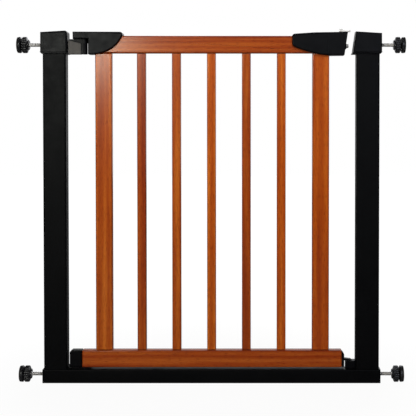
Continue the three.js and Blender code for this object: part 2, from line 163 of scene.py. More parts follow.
WOOD_TONES = [(0.24, 0.027, 0.002), (0.36, 0.057, 0.0035), (0.54, 0.132, 0.012)]
WOOD_STOPS = [0.28, 0.47, 0.68]  # where in the grain each tone lies
FIGURE_SHARE = 0.58  # what each pattern gives to the grain
RING_SHARE = 0.12
FIBRE_SHARE = 0.26
FIBRE_STRETCH = 0.05  # patterns are this much slower along the grain than across it
PORE_STRETCH = 0.09
PORE_DEPTH = 0.55
ARRIS_SHADE = 0.5  # how much painted shade darkens the rounded edges
WOOD_RELIEF = 0.00012
WOOD_SPECULAR = 0.04  # low, or the key's wide highlight washes the stain out
COOL_SHEEN = (0.8, 0.88, 1.0, 1)  # the tint of the highlights on black parts
PEEL_RELIEF = 0.00006
SPARK_RELIEF = 0.00005
STREAK_RELIEF = 0.00003
RUBBER_RELIEF = 0.00012


def scaled(colour, factor):
    return tuple(channel * factor for channel in colour)


def stained_wood(name, along_x, seed, tint):
    """Cherry-stained beech: rings and fibres along the piece, short dark pores, painted shade on the
    arrises.
    """
    material, tree, shader = new_material(name)
    turn = (0, 0, 0) if along_x else (0, math.radians(90), 0)
    offset = (seed * 1.37, seed * 0.71, seed * 0.43)
    plain = object_coords(tree, offset=offset, turn=turn)
    along = stretched(tree, plain, FIBRE_STRETCH)
    broad = noise(tree, along, 38, detail=3, distortion=0.4)
    fibres = noise(tree, along, 420, detail=4, roughness=0.65)
    rings = add_node(
        tree,
        "ShaderNodeTexWave",
        {"Vector": along, "Scale": 34, "Distortion": 5.0, "Detail": 3, "Detail Scale": 1.6},
        wave_type="RINGS",
        rings_direction="X",
    ).outputs["Fac"]
    figure = math_node(tree, "MULTIPLY", broad, FIGURE_SHARE)
    ring_part = math_node(tree, "MULTIPLY", rings, RING_SHARE)
    fibre_part = math_node(tree, "MULTIPLY", fibres, FIBRE_SHARE)
    grain = math_node(tree, "ADD", math_node(tree, "ADD", figure, ring_part), fibre_part)
    tinted = [tuple(c * t for c, t in zip(tone, tint)) for tone in WOOD_TONES]
    colour = ramp(tree, grain, list(zip(WOOD_STOPS, tinted)))
    pores = noise(tree, stretched(tree, plain, PORE_STRETCH), 900, detail=1, roughness=0.4)
    pore_mask = map_range(tree, pores, 0.57, 0.7, 0.0, PORE_DEPTH)
    colour = mix_colour(tree, pore_mask, colour, (*scaled(tinted[0], 0.5), 1))
    # painted shade: the colour darkens along the rounded edges, where the arris attribute rises
    edge = add_node(tree, "ShaderNodeAttribute", attribute_name="arris").outputs["Fac"]
    edge_shade_mask = math_node(tree, "MULTIPLY", edge, ARRIS_SHADE)
    colour = mix_colour(tree, edge_shade_mask, colour, (*scaled(tinted[0], 0.6), 1))
    tree.links.new(colour, shader.inputs["Base Color"])
    link_roughness(tree, shader, fibres, (0.36, 0.5))
    shader.inputs["Specular IOR Level"].default_value = WOOD_SPECULAR
    shader.inputs["Coat Weight"].default_value = 0.5
    shader.inputs["Coat Roughness"].default_value = 0.2
    relief = math_node(tree, "SUBTRACT", fibre_part, pore_mask)
    set_bump(tree, shader, relief, WOOD_RELIEF, 0.8)
    return material


def mottled(tree, scale, low, high):
    """A colour that wanders a little between two tones."""
    field = noise(tree, object_coords(tree), scale)
    return ramp(tree, field, [(0.3, low), (0.7, high)])


def powder_coat():
    """Satin black powder coat with fine orange peel and a little dust."""
    material, tree, shader = new_material("satin_black_powder_coat")
    coords = object_coords(tree)
    colour = mottled(tree, 14, (0.0009, 0.0009, 0.0012), (0.0017, 0.0017, 0.0021))
    tree.links.new(colour, shader.inputs["Base Color"])
    peel = noise(tree, coords, 1300, detail=2)
    link_roughness(tree, shader, noise(tree, coords, 45), (0.42, 0.5))
    shader.inputs["Specular IOR Level"].default_value = 0.1
    shader.inputs["Specular Tint"].default_value = COOL_SHEEN
    set_bump(tree, shader, peel, PEEL_RELIEF, 0.6)
    return material


def moulded_plastic(name, low, high, rough, grain, specular):
    """Moulded plastic with a spark-eroded grain."""
    material, tree, shader = new_material(name)
    coords = object_coords(tree)
    tree.links.new(mottled(tree, 30, low, high), shader.inputs["Base Color"])
    link_roughness(tree, shader, noise(tree, coords, 80), rough)
    shader.inputs["Specular IOR Level"].default_value = specular
    shader.inputs["Specular Tint"].default_value = COOL_SHEEN
    cells = add_node(tree, "ShaderNodeTexVoronoi", {"Vector": coords, "Scale": grain})
    set_bump(tree, shader, cells.outputs["Distance"], SPARK_RELIEF, 0.5)
    return material


def metal(name, low, high, rough, streak, scale, metallic):
    """Plated or painted metal with fine drawn streaks."""
    material, tree, shader = new_material(name)
    streaks = noise(tree, object_coords(tree, scale=streak), scale, detail=3, roughness=0.6)
    tree.links.new(ramp(tree, streaks, [(0.3, low), (0.7, high)]), shader.inputs["Base Color"])
    link_roughness(tree, shader, streaks, rough)
    shader.inputs["Metallic"].default_value = metallic
    set_bump(tree, shader, streaks, STREAK_RELIEF, 0.5)
    return material


def black_rubber():
    material, tree, shader = new_material("black_rubber")
    coords = object_coords(tree)
    colour = mottled(tree, 120, (0.012, 0.012, 0.013), (0.028, 0.027, 0.027))
    tree.links.new(colour, shader.inputs["Base Color"])
    link_roughness(tree, shader, noise(tree, coords, 300), (0.7, 0.88))
    set_bump(tree, shader, noise(tree, coords, 1800, detail=4), RUBBER_RELIEF, 0.6)
    return material


FINISHES = {
    "frame_steel": powder_coat(),
    "bracket_metal": metal(
        "grey_bracket_coat",
        low=(0.017, 0.017, 0.021),
        high=(0.028, 0.028, 0.034),
        rough=(0.4, 0.52),
        streak=(1, 1, 1),
        scale=300,
        metallic=0.2,
    ),
    "black_plastic": moulded_plastic(
        "black_moulded_plastic",
        low=(0.0012, 0.0012, 0.0018),
        high=(0.0026, 0.0026, 0.0034),
        rough=(0.34, 0.43),
        grain=2400,
        specular=0.11,
    ),
    "wheel_plastic": moulded_plastic(
        "hand_wheel_plastic",
        low=(0.008, 0.008, 0.0095),
        high=(0.018, 0.0175, 0.02),
        rough=(0.3, 0.44),
        grain=1700,
        specular=0.5,
    ),
    "pad_rubber": black_rubber(),
    "bare_steel": metal(
        "zinc_plated_steel",
        low=(0.5, 0.5, 0.51),
        high=(0.78, 0.78, 0.78),
        rough=(0.28, 0.42),
        streak=(0.08, 1, 1),
        scale=600,
        metallic=0.6,
    ),
}

# ------------------------------------------------------------- mesh and finish

SHARP_ANGLE = math.radians(32)
FLAT_ANGLE = math.radians(1)
WELD = 1e-5  # metres


def body_name(node):
    """The CAD body that holds a node."""
    bodies = frame["record"]["behaviour"]["bodies"]
    return next(body for body, nodes in bodies.items() if node in nodes)


def slot_of(node):
    subparts = frame["record"]["subparts"]
    return next(part["material_slot"] for part in subparts if part["node"] == node)


def smooth(mesh):
    """Smooth shading that breaks where two faces meet at more than SHARP_ANGLE."""
    mesh.shade_smooth()
    mesh.set_sharp_from_angle(angle=SHARP_ANGLE)


def new_object(name, mesh):
    made = bpy.data.objects.new(name, mesh)
    bpy.context.scene.collection.objects.link(made)
    return made


def to_object(name, bm):
    """A bmesh in millimetres becomes an object in metres."""
    bmesh.ops.recalc_face_normals(bm, faces=bm.faces)
    bmesh.ops.scale(bm, vec=(MM, MM, MM), verts=bm.verts)
    mesh = bpy.data.meshes.new(name)
    bm.to_mesh(mesh)
    bm.free()
    smooth(mesh)
    return new_object(name, mesh)


def stand_for(piece, node, material=None):
    """The piece takes a CAD node's place: its body, its slot and its finish."""
    slot = slot_of(node)
    piece.data.materials.clear()
    piece.data.materials.append(material or FINISHES[slot])
    flats = piece.modifiers.new("flats", "WEIGHTED_NORMAL")
    flats.keep_sharp = True
    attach(piece, body_name(node))
    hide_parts(node)
    return piece


def bake(piece):
    """Applies the piece's modifiers to its mesh."""
    bpy.context.view_layer.update()
    graph = bpy.context.evaluated_depsgraph_get()
    baked = bpy.data.meshes.new_from_object(piece.evaluated_get(graph))
    piece.modifiers.clear()
    piece.data = baked


def carve(piece, *cutters):
    """Cuts the cutters out of the piece and deletes them."""
    for cutter in cutters:
        cut = piece.modifiers.new("cut", "BOOLEAN")
        cut.operation = "DIFFERENCE"
        cut.solver = "EXACT"
        cut.object = cutter
    bake(piece)
    for cutter in cutters:
        bpy.data.objects.remove(cutter)
    smooth(piece.data)


def merge(piece, *others):
    """Adds the other objects' meshes to the piece."""
    bm = bmesh.new()
    bm.from_mesh(piece.data)
    for other in others:
        bm.from_mesh(other.data)
        bpy.data.objects.remove(other)
    bm.to_mesh(piece.data)
    bm.free()
    smooth(piece.data)
    return piece


def box(x0, x1, y0, y1, z0, z1):
    """A plain box, only ever used as a cutter."""
    bm = bmesh.new()
    size = Vector((x1 - x0, y1 - y0, z1 - z0))
    centre = Vector((x0 + x1, y0 + y1, z0 + z1)) / 2
    matrix = Matrix.Translation(centre) @ Matrix.Diagonal((*size, 1))
    bmesh.ops.create_cube(bm, size=1, matrix=matrix)
    return to_object("cutter", bm)


# ------------------------------------------------------------------- outlines

MITRE_LIMIT = -0.6  # cosine of the sharpest turn that still gets a full mitre
STRAIGHT = 0.01  # radians; a smaller turn doesn't limit an inset
SAFE_SHARE = 0.97  # how much of the room at a corner an inset may use
HOLDING = 0.5  # width of the flat strip that keeps a face's shading level
LEAST_EDGE = 0.2


def curve_to(start, controls, end, steps=10):
    """Points after start along a quadratic or cubic Bezier curve, up to end."""
    points = [Vector(start), *[Vector(c) for c in controls], Vector(end)]
    result = []
    for step in range(1, steps + 1):
        layer = points
        while len(layer) > 1:
            layer = [a.lerp(b, step / steps) for a, b in zip(layer, layer[1:])]
        result.append(tuple(layer[0]))
    return result


def rounded(corners, steps=5):
    """An outline from (x, z, radius) corners, each rounded by its radius."""
    outline = []
    for i, (x, z, radius) in enumerate(corners):
        corner = Vector((x, z))
        before = Vector(corners[i - 1][:2]) - corner
        after = Vector(corners[(i + 1) % len(corners)][:2]) - corner
        if radius == 0:
            outline.append((x, z))
            continue
        half = before.angle(after) / 2
        back = radius / math.tan(half)
        start = corner + before.normalized() * back
        end = corner + after.normalized() * back
        bisector = (before.normalized() + after.normalized()).normalized()
        centre = corner + bisector * radius / math.sin(half)
        sweep = (start - centre).angle_signed(end - centre)
        for step in range(steps + 1):
            turn = Matrix.Rotation(-sweep * step / steps, 2)
            outline.append(tuple(centre + turn @ (start - centre)))
    return outline


def anticlockwise(outline):
    shifted = outline[1:] + outline[:1]
    area = sum(a[0] * b[1] - b[0] * a[1] for a, b in zip(outline, shifted))
    return outline if area > 0 else outline[::-1]


def inward_normals(outline):
    """For each corner, the vector that moves both of its edges inwards by one millimetre."""
    normals = []
    count = len(outline)
    for i in range(count):
        here = Vector(outline[i])
        first = (here - Vector(outline[i - 1])).normalized()
        second = (Vector(outline[(i + 1) % count]) - here).normalized()
        a = Vector((-first.y, first.x))
        b = Vector((-second.y, second.x))
        normals.append((a + b) / (1 + max(a.dot(b), MITRE_LIMIT)))
    return normals


def corner_room(outline):
    """For each corner, how far it can be inset before its neighbours cross."""
    room = []
    count = len(outline)
    for i in range(count):
        here = Vector(outline[i])
        before = here - Vector(outline[i - 1])
        after = Vector(outline[(i + 1) % count]) - here
        turn = before.angle(after)
        reach = min(before.length, after.length)
        tight = turn > STRAIGHT
        room.append(SAFE_SHARE * reach / (2 * math.tan(turn / 2)) if tight else math.inf)
    return room


def slab(name, outline, y0, y1, front=2.0, back=2.0, steps=5):
    """An outline in X and Z spread from y0 to y1, its front and back edges rounded.

    front and back are radii, or functions of the inward normal that give one. Where an edge is
    rounded, the point attribute "arris" rises to 1.
    """
    outline = anticlockwise([tuple(point) for point in outline])
    normals = inward_normals(outline)
    room = corner_room(outline)
    bm = bmesh.new()
    arris = bm.verts.layers.float.new("arris")

    def ring(radius, angle, y, outward, further=0.0):
        made = []
        for point, normal, most in zip(outline, normals, room):
            wanted = radius(normal) if callable(radius) else radius
            r = min(wanted, max(most - HOLDING, LEAST_EDGE))
            inset = r * (1 - math.cos(angle)) + further
            depth = r * (1 - math.sin(angle))
            x, z = Vector(point) + normal * inset
            vert = bm.verts.new((x, y - outward * depth, z))
            vert[arris] = math.sin(2 * angle)
            made.append(vert)
        return made

    angles = [math.pi / 2 * step / steps for step in range(steps + 1)]
    rings = [ring(front, math.pi / 2, y0, -1, HOLDING)]
    rings += [ring(front, angle, y0, -1) for angle in reversed(angles)]
    rings += [ring(back, angle, y1, 1) for angle in angles]
    rings += [ring(back, math.pi / 2, y1, 1, HOLDING)]
    count = len(outline)
    for a, b in zip(rings, rings[1:]):
        for i in range(count):
            j = (i + 1) % count
            bm.faces.new((a[i], a[j], b[j], b[i]))
    bm.faces.new(rings[0])
    bm.faces.new(rings[-1])
    return to_object(name, bm)


def lathe(name, profile, origin, direction, sides=48, ripple=None):
    """A closed profile of (distance, radius) turned about a line from origin along direction.

    A profile that starts and ends on the axis closes there. Any other closes on itself, and has to
    keep off the axis. ripple is a function of the profile's index and the angle that gives a change
    of radius.
    """
    axis = Vector(direction).normalized()
    side = axis.orthogonal().normalized()
    up = axis.cross(side)
    bm = bmesh.new()
    rows = []
    for index, (distance, radius) in enumerate(profile):
        base = Vector(origin) + axis * distance
        if radius == 0:
            rows.append([bm.verts.new(base)])
            continue
        row = []
        for step in range(sides):
            angle = 2 * math.pi * step / sides
            reach = radius + (ripple(index, angle) if ripple else 0)
            spoke = side * math.cos(angle) + up * math.sin(angle)
            row.append(bm.verts.new(base + spoke * reach))
        rows.append(row)
    pairs = list(zip(rows, rows[1:]))
    if len(rows[0]) > 1:
        pairs.append((rows[-1], rows[0]))
    for a, b in pairs:
        for i in range(sides):
            j = (i + 1) % sides
            corners = [a[i % len(a)], a[j % len(a)], b[j % len(b)], b[i % len(b)]]
            bm.faces.new(dict.fromkeys(corners))
    return to_object(name, bm)


def cylinder(start, end, radius):
    """The profile of a plain cylinder, for lathe."""
    return [(start, 0), (start, radius), (end, radius), (end, 0)]


def from_cad(node, bevel, segments=2):
    """A finished copy of a CAD node: whole faces, small rounds on its edges, smooth curves."""
    source = frame["nodes"][node]
    bm = bmesh.new()
    bm.from_mesh(source.data)
    bmesh.ops.remove_doubles(bm, verts=bm.verts, dist=WELD)
    bmesh.ops.dissolve_limit(bm, angle_limit=FLAT_ANGLE, verts=bm.verts, edges=bm.edges)
    mesh = bpy.data.meshes.new(node)
    bm.to_mesh(mesh)
    bm.free()
    piece = new_object(f"{node}_finished", mesh)
    if bevel:
        edges = piece.modifiers.new("edges", "BEVEL")
        edges.width = bevel * MM
        edges.segments = segments
        edges.limit_method = "ANGLE"
        edges.angle_limit = SHARP_ANGLE
        bake(piece)
    smooth(piece.data)
    return stand_for(piece, node)


# ------------------------------------------------------------------ steel frame

CAP_HALF = 18
CAP_EDGE = 2.2
TOP_EDGE = 4.6  # the covers' upper edges are rounder than the others
LIP_WALL = 361.8  # the lip's underside ends here, just past the post
LEFT_CAP_INNER = -307.5  # the caps' faces towards the panel
RIGHT_CAP_INNER = 302.1
LIP_LOW = 709
LIP_TOP = 712.2
LIP_WALL_LOW = 713  # where its slope up to the wall side ends
LIP_CORNER = 0.8
LIP_EDGE = 1.2
LIP_STEP = 0.5  # how far the lip stands proud of the shell
SHELL_LOW = LIP_TOP - 1  # the shell starts inside the lip
SHELL_WALL_LOW = 713.4
SHELL_TAPER = 2.6
LATCH_POCKET = (290, 316.3, -7, 7, 717, 737)


def soft_top(plain, left=0.0, right=0.0):
    """A radius that grows where the outline faces up, and by left or right on those sides."""

    def radius(inward):
        x, z = inward.normalized()
        upper = (TOP_EDGE - plain) * max(0.0, -z) ** 2
        return plain + upper + left * max(0.0, x) ** 3 + right * max(0.0, -x) ** 3

    return radius


def cap(node, main, lip, edge, pocket=None):
    """A post cap: a moulded body above a slightly proud lip."""
    inside = CAP_HALF - LIP_STEP
    body = slab(f"{node}_shell", rounded(main), -inside, inside, edge, edge)
    rim = slab("rim", rounded(lip), -CAP_HALF, CAP_HALF, LIP_EDGE, LIP_EDGE, steps=3)
    if pocket:
        carve(body, box(*pocket))
    stand_for(merge(body, rim), node)


def make_caps():
    """The post caps: their tops fall towards the walls, and the right one's inner side leans back."""
    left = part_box("left_post_cap")[0][0] / MM
    inner = LEFT_CAP_INNER
    main = [
        (left + LIP_STEP, SHELL_WALL_LOW, 0),
        (left + SHELL_TAPER, SHELL_LOW, 0),
        (inner - LIP_STEP, SHELL_LOW, 0),
        (inner - LIP_STEP, 759.3, 5.4),
        (left + LIP_STEP, 755.8, 0),
    ]
    lip = [
        (left, LIP_WALL_LOW, LIP_CORNER),
        (-LIP_WALL, LIP_LOW, LIP_CORNER),
        (inner, LIP_LOW, LIP_CORNER),
        (inner, LIP_TOP, 0.5),
        (left, LIP_TOP + 1, 0.5),
    ]
    cap("left_post_cap", main, lip, soft_top(CAP_EDGE, right=2.0))
    right = -left
    inner = RIGHT_CAP_INNER
    main = [
        (inner + 1.3, SHELL_LOW, 0),
        (right - SHELL_TAPER, SHELL_LOW, 0),
        (right - LIP_STEP, SHELL_WALL_LOW, 0),
        (right - LIP_STEP, 753.8, 0),
        (310.0, 757.2, 0),
    ]
    lip = [
        (inner, LIP_LOW, LIP_CORNER),
        (LIP_WALL, LIP_LOW, LIP_CORNER),
        (right, LIP_WALL_LOW, LIP_CORNER),
        (right, LIP_TOP + 1, 0.5),
        (302.7, LIP_TOP, 0.5),
    ]
    cap("right_post_cap", main, lip, soft_top(CAP_EDGE, left=2.5), pocket=LATCH_POCKET)


def make_frame():
    make_caps()
    for node in ("left_post", "right_post", "bottom_rail"):
        from_cad(node, bevel=0)
    for node in ("left_rail_end_cap", "right_rail_end_cap"):
        from_cad(node, bevel=0.8, segments=3)
    from_cad("strike_plate", bevel=0.3)
    from_cad("top_hinge_bracket", bevel=0.4, segments=3)
    from_cad("hinge_bearing", bevel=0.4, segments=3)
    from_cad("bottom_hinge_bracket", bevel=0.5, segments=3)
    from_cad("bottom_pivot_pin", bevel=0.4)
    from_cad("hinge_pin", bevel=0.5)
    from_cad("bottom_stop", bevel=0.6, segments=3)


# ------------------------------------------------------------------ wooden panel

ARRIS = 2.4
WOOD_HALF = {"rail": 10, "stile": 9, "slat": 8}
PANEL_LOW = 70.8  # the uprights stand between the two rails
PANEL_HIGH = 710.7
SHOE_SLOT = (-310, -263.7, -6.3, 6.3, 30, 62.3)
# How each piece took the stain: top and bottom rail, then the uprights from left to right
TOP_RAIL_TINT = (0.82, 0.78, 0.8)
LOW_RAIL_TINT = (0.84, 0.76, 0.8)
LEFT_STILE_TINT = (1.04, 1.1, 1.1)
RIGHT_STILE_TINT = (1.14, 1.22, 1.0)
SLAT_TINTS = [
    (0.88, 0.8, 0.75),
    (1.05, 1.15, 1.1),
    (1.22, 1.38, 1.35),
    (0.87, 0.86, 0.9),
    (1.24, 1.4, 1.3),
]


def timber(node, kind, material, cutter=None):
    """A planed timber with eased arrises, in the box of its CAD node."""
    (x0, _, z0), (x1, _, z1) = [tuple(v / MM for v in corner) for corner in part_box(node)]
    corner = ARRIS
    if kind != "rail":
        z0, z1, corner = PANEL_LOW, PANEL_HIGH, 0
    corners = [(x0, z0, corner), (x1, z0, corner), (x1, z1, corner), (x0, z1, corner)]
    half = WOOD_HALF[kind]
    piece = slab(f"{node}_timber", rounded(corners), -half, half, ARRIS, ARRIS)
    if cutter:
        carve(piece, cutter)
    stand_for(piece, node, material)


def make_wood():
    material = stained_wood("wood_top_rail", True, 1, TOP_RAIL_TINT)
    timber("top_wood_rail", "rail", material)
    slot = box(*SHOE_SLOT)
    material = stained_wood("wood_bottom_rail", True, 2, LOW_RAIL_TINT)
    timber("bottom_wood_rail", "rail", material, slot)
    material = stained_wood("wood_left_stile", False, 3, LEFT_STILE_TINT)
    timber("left_stile", "stile", material)
    material = stained_wood("wood_right_stile", False, 4, RIGHT_STILE_TINT)
    timber("right_stile", "stile", material)
    for index, tint in enumerate(SLAT_TINTS):
        node = f"slat_{index + 1}"
        timber(node, "slat", stained_wood(f"wood_{node}", False, 5 + index, tint))


# -------------------------------------------------------- hinge cover and handle

COVER_HALF = 17
PARTING = 0.15  # half the gap between the two halves of a cover
PARTING_EDGE = 0.3
COVER_EDGE = 2.4
ACROSS = (-20, 20)  # past both faces of a cover
UPRIGHT = (700, 765)  # past the handle's underside and top
BEYOND = 300  # past the handle's right end
BEFORE = 100  # past the handle's left end
ROOM_ACROSS = (-10.3, 10.3)  # the wood's thickness, with 0.3 to spare on each face
RAIL_ROOM = (710.7, 748.3)
STILE_ROOM = (691, 712)
HINGE_X = -273
SEAM = 250.5  # where the grip ends and the latch housing starts
HAIRLINE = 0.05  # half the gap between them
BOLT_Z = 726.8
REAR_SCREWS = {
    "hinge_cover_screw_left": (-256.6, 728),
    "hinge_cover_screw_right": (-207, 740),
    "handle_screw_left": (183, 737),
    "handle_screw_right": (236, 730),
}


def wood_room():
    """The space of the top rail and the two stiles inside the covers."""
    return [
        box(-249.7, 253.6, *ROOM_ACROSS, *RAIL_ROOM),
        box(-249.7, -213.3, *ROOM_ACROSS, *STILE_ROOM),
        box(216.9, 253.6, *ROOM_ACROSS, *STILE_ROOM),
    ]


def cover_outline():
    start = (-255, 708.6)
    sweep = (-190.3, 748)
    outline = [(-296, 741.3), (-263.4, 741.3), (-263.4, 708.6), start]
    outline += curve_to(start, [(-229, 708.6), (-204, 720)], sweep, 18)
    outline += curve_to(sweep, [(-188.6, 756)], (-196, 756.4), 8)
    return outline + [(-295.4, 756.4), (-296, 755.8)]


def handle_outline():
    """The outline of the whole handle, grip and latch housing together."""
    top = (173.3, 746)
    under = (178, 724.6)
    outline = [(292.7, 756.3), (222, 755.4), (180, 752.6)]
    outline += curve_to((180, 752.6), [(173.3, 752)], top, 8)
    outline += [(173.3, 731)]
    outline += curve_to((173.3, 731), [(173.3, 726.5)], under, 6)
    outline += curve_to(under, [(214, 709)], (250, 706.2), 16)
    return outline + [(285.3, 706.7)]


def screw_room(node):
    x, z = REAR_SCREWS[node]
    return lathe("cutter", cylinder(0, 4, 3.7), (x, 14.9, z), (0, 1, 0), 32)


def cover_halves(prefix, outline, rooms, screws):
    """A cover's front and rear shells, with room inside for the wood and the screws."""
    edge = soft_top(COVER_EDGE)
    front = slab(f"{prefix}_front_shell", outline, -COVER_HALF, -PARTING, edge, PARTING_EDGE)
    carve(front, *rooms())
    stand_for(front, f"{prefix}_front")
    rear = slab(f"{prefix}_rear_shell", outline, PARTING, COVER_HALF, PARTING_EDGE, edge)
    carve(rear, *rooms(), *[screw_room(node) for node in screws])
    stand_for(rear, f"{prefix}_rear")


def hinge_rooms():
    """The wood's room, and the room for the hinge pin and its head."""
    pin = lathe("cutter", cylinder(738, 747, 3.9), (HINGE_X, 0, 0), (0, 0, 1), 32)
    head = lathe("cutter", cylinder(746.7, 751.3, 6.4), (HINGE_X, 0, 0), (0, 0, 1), 32)
    return [*wood_room(), pin, head]


def grip_rooms():
    """The wood's room, and everything on the latch side of the seam."""
    return [*wood_room(), box(SEAM - HAIRLINE, BEYOND, *ACROSS, *UPRIGHT)]


def make_housing():
    """The latch end of the handle, with its bolt hole, its thumb slot and a steel collar."""
    edge = soft_top(COVER_EDGE)
    shell = slab("latch_housing_shell", handle_outline(), -COVER_HALF, COVER_HALF, edge, edge)
    grip_end = box(BEFORE, SEAM + HAIRLINE, *ACROSS, *UPRIGHT)
    hollow = box(SEAM - 1, 282, -12, 12, 711, 752)
    bolt_hole = lathe("cutter", cylinder(276, 296, 4.8), (0, 0, BOLT_Z), (1, 0, 0), 40)
    thumb_slot = box(266.4, 280.6, -3.4, 3.4, 749, 760)
    carve(shell, grip_end, hollow, bolt_hole, thumb_slot)
    profile = [(287.2, 4.75), (287.2, 7.0), (289.6, 7.0), (290.2, 6.3), (290.2, 4.75)]
    collar = lathe("latch_bolt_collar", profile, (0, 0, BOLT_Z), (1, 0, 0), 40)
    stand_for(shell, "latch_housing")
    collar.data.materials.append(FINISHES["bracket_metal"])
    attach(collar, body_name("latch_housing"))


def make_covers():
    screws = ["hinge_cover_screw_left", "hinge_cover_screw_right"]
    cover_halves("hinge_cover", cover_outline(), hinge_rooms, screws)
    screws = ["handle_screw_left", "handle_screw_right"]
    cover_halves("handle_grip", handle_outline(), grip_rooms, screws)
    make_housing()
    for node in REAR_SCREWS:
        make_screw(node)


def make_screw(node):
    """A pan-head screw with a cross recess."""
    x, z = REAR_SCREWS[node]
    profile = [(-5, 0), (-5, 1.6), (15.2, 1.6), (15.2, 3.4)]
    profile += [(16.0, 3.35), (16.5, 2.6), (16.7, 1.3), (16.7, 0)]
    piece = lathe(f"{node}_head", profile, (x, 0, z), (0, 1, 0), 32)
    reach, half = 2.1, 0.4
    recess = (15.7, 17)
    level = box(x - reach, x + reach, *recess, z - half, z + half)
    upright = box(x - half, x + half, *recess, z - reach, z + reach)
    carve(piece, level, upright)
    stand_for(piece, node)


# -------------------------------------------------------------- latch and shoes


def make_spring():
    """The release spring, copied from its CAD node with a mesh of its own; the real spring shortens
    as the thumb slide is drawn back.
    """
    spring = from_cad("release_spring", bevel=0)
    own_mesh(spring)


def make_release():
    """Thumb slide with a curled tab and a beaded end, bolt with a rounded nose, carriage, spring."""
    strip_end = (296.1, 759.2)
    bead_top = (297.8, 760.9)
    outline = [(276.2, 757.3), (299.3, 757.3)]
    outline += curve_to((299.3, 757.3), [(300.6, 759.0), (299.6, 761.2)], bead_top, 8)
    outline += curve_to(bead_top, [(296.6, 760.6)], strip_end, 4)
    outline += [(286.0, 759.2)]
    outline += curve_to((286.0, 759.2), [(283.6, 759.3)], (282.8, 761.0), 5)
    outline += curve_to((282.8, 761.0), [(282.0, 762.8)], (279.6, 762.9), 6)
    outline += [(277.0, 762.9)]
    outline += curve_to((277.0, 762.9), [(275.2, 762.9)], (275.1, 761.2), 6)
    outline += curve_to((275.1, 761.2), [(275.0, 758.2)], (276.2, 757.3), 5)[:-1]
    plate_edge = 0.35
    plate = slab("release_slide_plate", outline, -5, 5, plate_edge, plate_edge, steps=2)
    stand_for(plate, "release_slide")
    profile = [(264, 0), (264, 3.2), (264.3, 3.5), (280.3, 3.5), (280.3, 4.5), (291.4, 4.5)]
    profile += [(291.6, 4.2), (292.2, 4.2), (292.4, 4.5), (293.8, 4.4), (294.7, 3.9)]
    profile += [(295.2, 3.0), (295.2, 0)]
    stand_for(lathe("latch_bolt_stud", profile, (0, 0, BOLT_Z), (1, 0, 0), 40), "latch_bolt")
    from_cad("latch_carriage", bevel=0.4)
    make_spring()


def make_shoes():
    """The fittings under the panel, at the hinge and at the latch."""
    from_cad("bottom_hinge_shoe", bevel=0.7, segments=3)
    from_cad("bottom_latch_foot", bevel=0.4, segments=3)


# -------------------------------------------------------------- screw spindles

PITCH = 1.25
ROWS_PER_TURN = 4
ROD_START = -20  # distances along a spindle start at the face of its cap
ROD_END = 46.5
THREAD_CREST = 4.0
THREAD_ROOT = 3.6
ROD_CHAMFER = 0.4
END_STEP = 0.3  # how far the first and last rows are from the rod's ends
LOBES = 18
LOBE_DEPTH = 1.3
WHEEL_RIM = 17.4
LOBE_ROOT = 14.2  # the scallops fade out at this radius
NEAR_AXIS = 0.001
SPINDLES = {  # side, face and height
    "upper_left": (-1, 366, 729),
    "upper_right": (1, 366, 729),
    "lower_left": (-1, 364.3, 17.6),
    "lower_right": (1, 364.3, 17.6),
}


def threaded_rod(name, origin, outward):
    """A rod with a real helical thread: the radius follows the distance and the angle."""
    count = int((ROD_END - ROD_START) / (PITCH / ROWS_PER_TURN))
    threaded = ROD_END - ROD_START - 2 * END_STEP
    tip = THREAD_ROOT - ROD_CHAMFER
    profile = [(ROD_START, 0), (ROD_START, tip)]
    for row in range(count + 1):
        profile.append((ROD_START + END_STEP + threaded * row / count, THREAD_ROOT))
    profile += [(ROD_END, tip), (ROD_END, 0)]
    last = len(profile) - 2

    def thread(index, angle):
        if index <= 1 or index >= last:
            return 0.0
        phase = (profile[index][0] / PITCH - angle / (2 * math.pi)) % 1.0
        return (THREAD_CREST - THREAD_ROOT) * (1 - abs(2 * phase - 1))

    return lathe(name, profile, origin, outward, 20, ripple=thread)


def hand_wheel(name, origin, outward):
    """A scalloped hand wheel with a dished web on both faces and a groove round its rim."""
    rim = WHEEL_RIM
    profile = [(28.6, 8.3), (28.4, 9.2), (28.5, 11.0), (29.4, 14.0), (30.4, 16.4), (31.2, rim)]
    profile += [(35.7, rim), (36.0, rim - 0.5), (36.3, rim), (38.9, rim)]
    profile += [(39.7, 16.6), (40.0, 15.4), (39.6, 14.2), (37.2, 13.2), (37.6, 10.2), (37.6, 8.3)]

    def scallop(index, angle):
        share = max(0.0, (profile[index][1] - LOBE_ROOT) / (rim - LOBE_ROOT))
        wave = abs(math.sin(LOBES * angle / 2))
        return -LOBE_DEPTH * share * (1 - wave) ** 1.4

    return lathe(name, profile, origin, outward, LOBES * 10, ripple=scallop)


def nut_profile():
    """A flanged bush through the wheel."""
    flange = [(25.9, 4.3), (25.9, 9.9), (26.4, 10.5), (27.9, 10.5), (28.1, 10.3)]
    return flange + [(28.1, 8.0), (39.4, 8.0), (40.0, 7.4), (40.0, 4.3)]


def disc_profile():
    """A flared cup on the rod's end; it closes on itself just off the axis."""
    neck = [(40.3, 4.3), (40.3, 5.6), (40.7, 6.0), (42.0, 6.0), (42.2, 6.6)]
    flare = [(42.2, 13.4), (42.5, 14.8), (43.6, 16.9), (44.3, 17.4), (47.2, 17.4)]
    face = [(47.8, 17.1), (48.0, 16.5), (48.0, NEAR_AXIS), (46.8, NEAR_AXIS), (46.8, 4.3)]
    return neck + flare + face


def pad_profile():
    """A rubber pad with two grooves in its face."""
    body = [(48.3, 0), (48.3, 16.6), (48.7, 17.0), (50.2, 17.0), (50.8, 16.4), (50.8, 14.4)]
    grooves = [(50.2, 14.0), (50.2, 12.8), (50.8, 12.4), (50.8, 9.4), (50.2, 9.0), (50.2, 7.8)]
    return body + grooves + [(50.8, 7.4), (50.8, 0)]


